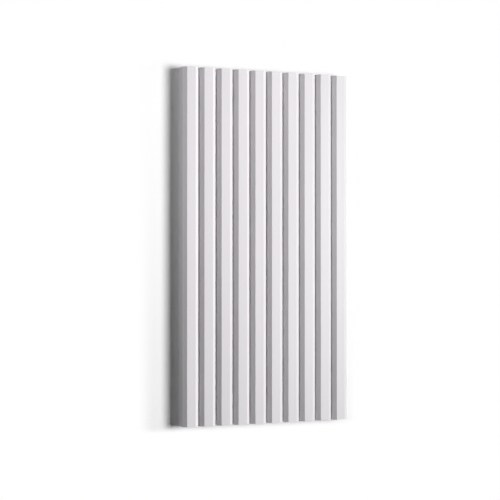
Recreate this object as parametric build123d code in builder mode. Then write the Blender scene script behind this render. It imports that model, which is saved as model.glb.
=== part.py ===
"""Ribbed wall panel, moulded in one piece.

The panel lies on its flat back. X runs across the ribs, Y runs along them and Z is the thickness.
The origin is in the middle of the back face.
"""

import math
import os

from build123d import *

# Driving dimensions, in millimetres
rib_count = 10
panel_length = 600.0
backing_thickness = 12.1
slot_width = 3.2
slot_depth = 8.0
crest_width = 15.3
flank_run = 6.25
flank_rise = 4.4
crest_radius = 0.6
flank_foot_radius = 0.4
slot_floor_radius = 0.8

# Sizes that follow from the driving dimensions
rib_foot_width = crest_width + 2 * flank_run
rib_pitch = rib_foot_width + slot_width
panel_width = rib_count * rib_pitch - slot_width
flank_foot_height = backing_thickness + slot_depth
flank_angle = math.degrees(math.atan2(flank_rise, flank_run))

with BuildPart() as ribbed_panel:
    # The section across the ribs, drawn at the lower end and run out along the length
    with BuildSketch(Plane.XZ.offset(panel_length / 2)) as section:
        Rectangle(panel_width, flank_foot_height, align=(Align.CENTER, Align.MIN))
        with Locations((0, flank_foot_height)):
            # Each rib has a flat crest between two sloping flanks
            with GridLocations(rib_pitch, 0, rib_count, 1):
                Trapezoid(rib_foot_width, flank_rise, flank_angle, align=(Align.CENTER, Align.MIN))
            # Between two ribs a narrow slot goes down from the feet of the flanks to the backing
            with GridLocations(rib_pitch, 0, rib_count - 1, 1):
                Rectangle(slot_width, slot_depth, align=(Align.CENTER, Align.MAX), mode=Mode.SUBTRACT)
        # The mould leaves every arris of the front and the slots' corners slightly round. The corners lie
        # at four heights: 0 is the back, 1 the slot floors, 2 the feet of the flanks and 3 the crests
        for height, radius in ((3, crest_radius), (2, flank_foot_radius), (1, slot_floor_radius)):
            fillet(section.vertices().group_by(Axis.Y)[height], radius)
    extrude(amount=-panel_length)

ribbed_panel.part.label = "ribbed_panel"

os.makedirs("parts", exist_ok=True)
export_step(ribbed_panel.part, "parts/ribbed_panel.step")
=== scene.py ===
"""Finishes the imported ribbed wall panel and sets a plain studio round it.

The file is laid out as an add-on and run as a script. Lengths are in metres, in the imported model's frame:
X runs across the ribs, Y along them and Z up from the floor that the panel lies on.
"""

import math

import bpy
from bpy.props import FloatProperty, FloatVectorProperty, PointerProperty
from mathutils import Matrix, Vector


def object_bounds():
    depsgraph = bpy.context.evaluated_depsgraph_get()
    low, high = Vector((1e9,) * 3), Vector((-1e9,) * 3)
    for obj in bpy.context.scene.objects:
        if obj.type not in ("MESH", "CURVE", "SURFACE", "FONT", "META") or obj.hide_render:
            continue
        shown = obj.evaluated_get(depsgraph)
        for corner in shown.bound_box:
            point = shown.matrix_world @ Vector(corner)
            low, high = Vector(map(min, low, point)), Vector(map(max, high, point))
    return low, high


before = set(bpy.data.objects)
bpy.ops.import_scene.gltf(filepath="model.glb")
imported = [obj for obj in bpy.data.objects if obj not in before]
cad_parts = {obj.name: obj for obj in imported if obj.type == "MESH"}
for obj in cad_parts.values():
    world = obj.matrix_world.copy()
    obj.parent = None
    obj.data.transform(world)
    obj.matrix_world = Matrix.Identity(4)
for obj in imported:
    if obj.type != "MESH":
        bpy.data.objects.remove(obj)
cad_low, cad_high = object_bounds()

bl_info = {
    "name": "Ribbed Wall Panel",
    "version": (1, 0, 0),
    "blender": (4, 5, 0),
    "location": "3D View > Sidebar > Wall Panel",
    "description": "Finishes a ribbed wall panel and sets a studio round it",
    "category": "Material",
}

MM = 0.001
# Width of the camera's sensor, in the millimetres in which Blender counts lenses
SENSOR_WIDTH = 36.0
# Where the values of the noise mostly lie, for the broad bands of the spray and for its specks
BAND_RANGE = (0.35, 0.65)
SPECK_RANGE = (0.3, 0.7)


def linear_rgb(hex_code):
    """Turn an sRGB colour such as #E6E3E6 to linear red, green and blue."""
    channels = [int(hex_code[start:start + 2], 16) / 255 for start in (1, 3, 5)]
    return [c / 12.92 if c <= 0.04045 else ((c + 0.055) / 1.055) ** 2.4 for c in channels]


def opaque(colour):
    """Add full alpha to a colour, as a node's socket wants it."""
    return (*colour, 1.0)


def add_node(tree, kind, inputs=None, **settings):
    """Add a node with its settings. An input that is another node's socket is linked, any other is set."""
    node = tree.nodes.new(kind)
    for name, value in settings.items():
        setattr(node, name, value)
    for socket, value in (inputs or {}).items():
        if isinstance(value, bpy.types.NodeSocket):
            tree.links.new(value, node.inputs[socket])
        else:
            node.inputs[socket].default_value = value
    return node


class PrimerSettings(bpy.types.PropertyGroup):
    """The sprayed white primer on the panel."""

    full_coat: FloatVectorProperty(
        name="Full coat",
        description="Colour of the primer where it covers fully",
        subtype="COLOR",
        min=0.0,
        max=1.0,
        default=linear_rgb("#DCD9DC"),
    )
    thin_coat: FloatVectorProperty(
        name="Thin coat",
        description="Colour between two passes of the spray gun, where the coat is thinner",
        subtype="COLOR",
        min=0.0,
        max=1.0,
        default=linear_rgb("#D8D5D8"),
    )
    pass_width: FloatProperty(
        name="Pass width",
        description="Width of one pass of the spray gun",
        unit="LENGTH",
        default=70 * MM,
    )
    pass_length: FloatProperty(
        name="Pass length",
        description="Length along the ribs over which a pass stays even",
        unit="LENGTH",
        default=450 * MM,
    )
    grain_size: FloatProperty(
        name="Grain size",
        description="Distance between the specks of the dried spray",
        unit="LENGTH",
        default=1.5 * MM,
    )
    grain_height: FloatProperty(
        name="Grain height",
        description="Height of the specks of the dried spray",
        unit="LENGTH",
        default=0.012 * MM,
    )
    roughness: FloatProperty(
        name="Roughness",
        description="Mean roughness of the coat, which has a soft sheen",
        subtype="FACTOR",
        min=0.0,
        max=1.0,
        default=0.42,
    )
    roughness_spread: FloatProperty(
        name="Roughness spread",
        description="How far the grain moves the roughness to either side of its mean",
        subtype="FACTOR",
        min=0.0,
        max=0.4,
        default=0.08,
    )


class StudioSettings(bpy.types.PropertyGroup):
    """The floor, the lamps and the camera."""

    floor_side: FloatProperty(
        name="Floor side",
        description="Side of the square floor",
        unit="LENGTH",
        default=24.0,
    )
    floor_colour: FloatVectorProperty(
        name="Floor colour",
        description="Colour of the floor in the light that it throws back on the panel",
        subtype="COLOR",
        min=0.0,
        max=1.0,
        default=linear_rgb("#C0C0C0"),
    )
    shadow_reach: FloatProperty(
        name="Shadow reach",
        description="Width left of the panel in which the floor shows the panel's shadow",
        unit="LENGTH",
        default=42 * MM,
    )
    side_fade: FloatProperty(
        name="Side fade",
        description="Width past the shadow over which the floor goes over to pure white",
        unit="LENGTH",
        default=30 * MM,
    )
    end_fade: FloatProperty(
        name="End fade",
        description="Width past the ends of the panel over which the floor goes over to pure white",
        unit="LENGTH",
        default=12 * MM,
    )
    ambient: FloatProperty(
        name="Ambient",
        description="Strength of the light from all round",
        min=0.0,
        default=0.02,
    )
    key_place: FloatVectorProperty(
        name="Key place",
        description="Middle of the large soft box",
        subtype="TRANSLATION",
        unit="LENGTH",
        default=(1.31, 0.08, 1.52),
    )
    key_aim: FloatVectorProperty(
        name="Key aim",
        description="Point that the large soft box faces, past the panel so that all ribs are lit alike",
        subtype="TRANSLATION",
        unit="LENGTH",
        default=(-3.2, 0.3, 0.0),
    )
    key_size: FloatVectorProperty(
        name="Key size",
        description="Width and height of the large soft box",
        size=2,
        unit="LENGTH",
        default=(1.4, 1.0),
    )
    key_spread: FloatProperty(
        name="Key spread",
        description="Angle to which the large soft box's grid holds its light",
        subtype="ANGLE",
        default=math.radians(105),
    )
    key_power: FloatProperty(
        name="Key power",
        description="Power of the large soft box",
        unit="POWER",
        default=34.0,
    )
    fill_place: FloatVectorProperty(
        name="Fill place",
        description="Middle of the small soft box that lights the left flanks",
        subtype="TRANSLATION",
        unit="LENGTH",
        default=(-1.2, 0.3, 1.0),
    )
    fill_aim: FloatVectorProperty(
        name="Fill aim",
        description="Point that the small soft box faces",
        subtype="TRANSLATION",
        unit="LENGTH",
        default=(0.5, 0.5, 0.0),
    )
    fill_size: FloatVectorProperty(
        name="Fill size",
        description="Width and height of the small soft box",
        size=2,
        unit="LENGTH",
        default=(0.8, 0.25),
    )
    fill_spread: FloatProperty(
        name="Fill spread",
        description="Angle to which the small soft box's grid holds its light",
        subtype="ANGLE",
        default=math.radians(45),
    )
    fill_power: FloatProperty(
        name="Fill power",
        description="Power of the small soft box",
        unit="POWER",
        default=0.38,
    )
    strip_distance: FloatProperty(
        name="Strip distance",
        description="Distance of the low strip lamps from the middle of the panel",
        unit="LENGTH",
        default=1.2,
    )
    strip_size: FloatVectorProperty(
        name="Strip size",
        description="Length and height of a strip lamp",
        size=2,
        unit="LENGTH",
        default=(0.8, 0.2),
    )
    strip_power: FloatProperty(
        name="Strip power",
        description="Power of a strip lamp",
        unit="POWER",
        default=2.9,
    )
    left_strip_place: FloatProperty(
        name="Left strip place",
        description="Place of the left strip lamp along the ribs",
        unit="LENGTH",
        default=0.1,
    )
    left_strip_aim: FloatProperty(
        name="Left strip aim",
        description="Place along the ribs that the left strip lamp faces, past the far end of the panel",
        unit="LENGTH",
        default=1.0,
    )
    camera_place: FloatVectorProperty(
        name="Camera place",
        description="Place of the camera's lens",
        subtype="TRANSLATION",
        unit="LENGTH",
        default=(-0.9661, -0.0273, 2.1559),
    )
    camera_yaw: FloatProperty(
        name="Camera yaw",
        description="Turn of the camera towards +X, from straight down",
        subtype="ANGLE",
        default=math.radians(23.637),
    )
    camera_pitch: FloatProperty(
        name="Camera pitch",
        description="Tilt of the camera towards +Y",
        subtype="ANGLE",
        default=math.radians(0.544),
    )
    camera_lens: FloatProperty(
        name="Camera lens",
        description="Focal length of the camera",
        unit="CAMERA",
        default=98.86,
    )


def sprayed_primer(primer):
    """Rigid foamed polymer, moulded and sprayed with a white primer.

    To the eye it is an even, slightly cool white with a soft sheen. The spray gun runs along the ribs and
    leaves long, faint bands where the coat is thinner. The dried spray has a fine grain that breaks up the
    sheen.
    """
    coat = bpy.data.materials.new("sprayed_primer_on_polymer")
    coat.use_nodes = True
    tree = coat.node_tree
    tree.nodes.clear()
    place = add_node(tree, "ShaderNodeTexCoord").outputs["Object"]

    bands = add_node(tree, "ShaderNodeMapping", {
        "Vector": place,
        "Scale": (1 / primer.pass_width, 1 / primer.pass_length, 1 / primer.pass_width),
    }, vector_type="POINT")
    coverage = add_node(tree, "ShaderNodeTexNoise", {
        "Vector": bands.outputs["Vector"], "Scale": 1.0, "Detail": 2.0, "Roughness": 0.4,
    })
    colour = add_node(tree, "ShaderNodeValToRGB", {"Fac": coverage.outputs["Fac"]})
    thin, full = colour.color_ramp.elements
    thin.position, full.position = BAND_RANGE
    thin.color = opaque(primer.thin_coat)
    full.color = opaque(primer.full_coat)

    # Dried spray has specks of about 0.3 mm. They are drawn five times as coarse, or they would not show
    specks = add_node(tree, "ShaderNodeTexNoise", {
        "Vector": place, "Scale": 1 / primer.grain_size, "Detail": 2.0, "Roughness": 0.6,
    })
    roughness = add_node(tree, "ShaderNodeMapRange", {
        "Value": specks.outputs["Fac"],
        "From Min": SPECK_RANGE[0],
        "From Max": SPECK_RANGE[1],
        "To Min": primer.roughness - primer.roughness_spread,
        "To Max": primer.roughness + primer.roughness_spread,
    })
    grain = add_node(tree, "ShaderNodeBump", {
        "Height": specks.outputs["Fac"], "Strength": 1.0, "Distance": primer.grain_height,
    })
    surface = add_node(tree, "ShaderNodeBsdfPrincipled", {
        "Base Color": colour.outputs["Color"],
        "Roughness": roughness.outputs["Result"],
        "Normal": grain.outputs["Normal"],
        "IOR": 1.49,
    })
    add_node(tree, "ShaderNodeOutputMaterial", {"Surface": surface.outputs["BSDF"]})
    return coat


def seen_by_camera(tree):
    """Give a socket that is 1 for what the camera sees, also in gloss or through glass, and otherwise 0."""
    path = add_node(tree, "ShaderNodeLightPath")
    seen = path.outputs["Is Camera Ray"]
    for ray in ("Is Glossy Ray", "Is Transmission Ray"):
        either = add_node(tree, "ShaderNodeMath", {0: seen, 1: path.outputs[ray]}, operation="MAXIMUM")
        seen = either.outputs["Value"]
    return seen


def vector_math(tree, operation, *vectors):
    """Add a Vector Math node and give the socket of the vector that it works out."""
    node = add_node(tree, "ShaderNodeVectorMath", dict(enumerate(vectors)), operation=operation)
    return node.outputs["Vector"]


def white_paper(studio):
    """Matt white background paper.

    Near the panel it shows the panel's shadow. Further out the eye sees one pure white.
    """
    paper = bpy.data.materials.new("white_background_paper")
    paper.use_nodes = True
    tree = paper.node_tree
    tree.nodes.clear()
    seen = seen_by_camera(tree)

    # How far a point lies past the rectangle of the panel and its shadow, as a share of the fades' widths.
    # The rectangle's four quarters are alike, so one is worked out. Heights are 0 all over the floor
    place = add_node(tree, "ShaderNodeTexCoord").outputs["Object"]
    middle = ((cad_low.x - studio.shadow_reach + cad_high.x) / 2, (cad_low.y + cad_high.y) / 2, 0.0)
    corner = (cad_high.x - middle[0], cad_high.y - middle[1], 0.0)
    fades = (studio.side_fade, studio.end_fade, 1.0)
    quarter = vector_math(tree, "ABSOLUTE", vector_math(tree, "SUBTRACT", place, middle))
    past = vector_math(tree, "MAXIMUM", vector_math(tree, "SUBTRACT", quarter, corner), (0.0, 0.0, 0.0))
    share = vector_math(tree, "DIVIDE", past, fades)
    distance = add_node(tree, "ShaderNodeVectorMath", {0: share}, operation="LENGTH")
    fade = add_node(tree, "ShaderNodeMapRange", {
        "Value": distance.outputs["Value"],
    }, interpolation_type="SMOOTHSTEP")

    # The eye sees the light that falls on the paper near the panel and a pure white past the fades
    pure = add_node(tree, "ShaderNodeMath", {0: fade.outputs["Result"], 1: seen}, operation="MULTIPLY")

    colour = add_node(tree, "ShaderNodeValToRGB", {"Fac": seen})
    thrown_back, shown = colour.color_ramp.elements
    thrown_back.color = opaque(studio.floor_colour)
    shown.color = opaque(linear_rgb("#FFFFFF"))
    matt = add_node(tree, "ShaderNodeBsdfDiffuse", {"Color": colour.outputs["Color"]})
    white = add_node(tree, "ShaderNodeEmission", {"Strength": 1.0})
    surface = add_node(tree, "ShaderNodeMixShader", {
        0: pure.outputs["Value"], 1: matt.outputs["BSDF"], 2: white.outputs["Emission"],
    })
    add_node(tree, "ShaderNodeOutputMaterial", {"Surface": surface.outputs["Shader"]})
    return paper


def lay_floor(studio):
    """Lay the square of paper that the panel lies on."""
    bpy.ops.object.select_all(action="DESELECT")
    bpy.ops.mesh.primitive_plane_add(size=studio.floor_side, location=(0.0, 0.0, cad_low.z))
    floor = bpy.context.object
    floor.name = "studio_floor"
    floor.data.materials.append(white_paper(studio))


def set_backdrop(studio):
    """Make the world a white backdrop that gives little light of its own."""
    world = bpy.data.worlds.new("white_backdrop")
    world.use_nodes = True
    tree = world.node_tree
    tree.nodes.clear()
    strength = add_node(tree, "ShaderNodeMapRange", {
        "Value": seen_by_camera(tree), "To Min": studio.ambient, "To Max": 1.0,
    })
    white = add_node(tree, "ShaderNodeBackground", {
        "Color": opaque(linear_rgb("#FFFFFF")), "Strength": strength.outputs["Result"],
    })
    add_node(tree, "ShaderNodeOutputWorld", {"Surface": white.outputs["Background"]})
    bpy.context.scene.world = world


def hang_lamp(name, place, aim, size, power, spread=math.pi):
    """Hang a rectangular soft lamp that faces a point and doesn't show in the picture."""
    bpy.ops.object.light_add(type="AREA", location=place)
    lamp = bpy.context.object
    lamp.name = name
    lamp.rotation_euler = (Vector(aim) - Vector(place)).to_track_quat("-Z", "Y").to_euler()
    lamp.visible_camera = False
    lamp.data.shape = "RECTANGLE"
    lamp.data.size, lamp.data.size_y = size
    lamp.data.energy = power
    lamp.data.spread = spread
    return lamp


def hang_lamps(studio):
    """Hang a large soft box at the right, a small one at the left, and low strips at the left and both ends.

    The strips stand on the floor. They light the left side and the ends of the panel, but hardly the floor.
    """
    hang_lamp(
        "key_soft_box",
        studio.key_place,
        studio.key_aim,
        studio.key_size,
        studio.key_power,
        studio.key_spread,
    )
    hang_lamp(
        "left_soft_box",
        studio.fill_place,
        studio.fill_aim,
        studio.fill_size,
        studio.fill_power,
        studio.fill_spread,
    )
    height = studio.strip_size[1] / 2
    out = studio.strip_distance
    panel_foot = (0.0, 0.0, 0.0)
    strips = {
        "left_strip": ((-out, studio.left_strip_place, height), (0.0, studio.left_strip_aim, 0.0)),
        "near_strip": ((0.0, -out, height), panel_foot),
        "far_strip": ((0.0, out, height), panel_foot),
    }
    for name, (place, aim) in strips.items():
        strip = hang_lamp(name, place, aim, studio.strip_size, studio.strip_power)
        # Seen from low down, the coat would mirror a strip as a white patch across the ribs
        strip.visible_glossy = False


def place_camera(studio):
    """Place the camera, which looks down on the ribs from the left."""
    bpy.ops.object.camera_add(
        location=studio.camera_place,
        rotation=(studio.camera_pitch, -studio.camera_yaw, 0.0),
    )
    camera = bpy.context.object
    camera.name = "studio_camera"
    camera.data.sensor_width = SENSOR_WIDTH
    camera.data.lens = studio.camera_lens
    bpy.context.scene.camera = camera


class WALL_PANEL_OT_finish_panel(bpy.types.Operator):
    """Coat the ribbed panel with sprayed white primer"""

    bl_idname = "wall_panel.finish_panel"
    bl_label = "Finish Ribbed Panel"

    def execute(self, context):
        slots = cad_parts["ribbed_panel"].material_slots
        if not slots:
            raise RuntimeError("ribbed_panel has no material slot to finish")
        coat = sprayed_primer(context.scene.wall_panel_primer)
        for slot in slots:
            slot.material = coat
        return {"FINISHED"}


class WALL_PANEL_OT_set_stage(bpy.types.Operator):
    """Lay the floor, set the backdrop, hang the lamps and place the camera"""

    bl_idname = "wall_panel.set_stage"
    bl_label = "Set Stage"

    def execute(self, context):
        studio = context.scene.wall_panel_studio
        lay_floor(studio)
        set_backdrop(studio)
        hang_lamps(studio)
        place_camera(studio)
        context.scene.view_settings.view_transform = "Standard"
        return {"FINISHED"}


class WALL_PANEL_PT_sidebar(bpy.types.Panel):
    """Settings of the finish and the studio, each with its operator"""

    bl_label = "Ribbed Wall Panel"
    bl_space_type = "VIEW_3D"
    bl_region_type = "UI"
    bl_category = "Wall Panel"

    def draw(self, context):
        self.layout.use_property_split = True
        scene = context.scene
        for settings, operator in (
            (scene.wall_panel_primer, WALL_PANEL_OT_finish_panel),
            (scene.wall_panel_studio, WALL_PANEL_OT_set_stage),
        ):
            column = self.layout.box().column()
            for name in settings.__annotations__:
                column.prop(settings, name)
            column.operator(operator.bl_idname)


CLASSES = (
    PrimerSettings,
    StudioSettings,
    WALL_PANEL_OT_finish_panel,
    WALL_PANEL_OT_set_stage,
    WALL_PANEL_PT_sidebar,
)


def register():
    for cls in CLASSES:
        bpy.utils.register_class(cls)
    bpy.types.Scene.wall_panel_primer = PointerProperty(type=PrimerSettings)
    bpy.types.Scene.wall_panel_studio = PointerProperty(type=StudioSettings)


def unregister():
    del bpy.types.Scene.wall_panel_studio
    del bpy.types.Scene.wall_panel_primer
    for cls in reversed(CLASSES):
        bpy.utils.unregister_class(cls)


def main():
    register()
    bpy.ops.wall_panel.finish_panel()
    bpy.ops.wall_panel.set_stage()


if __name__ == "__main__":
    main()
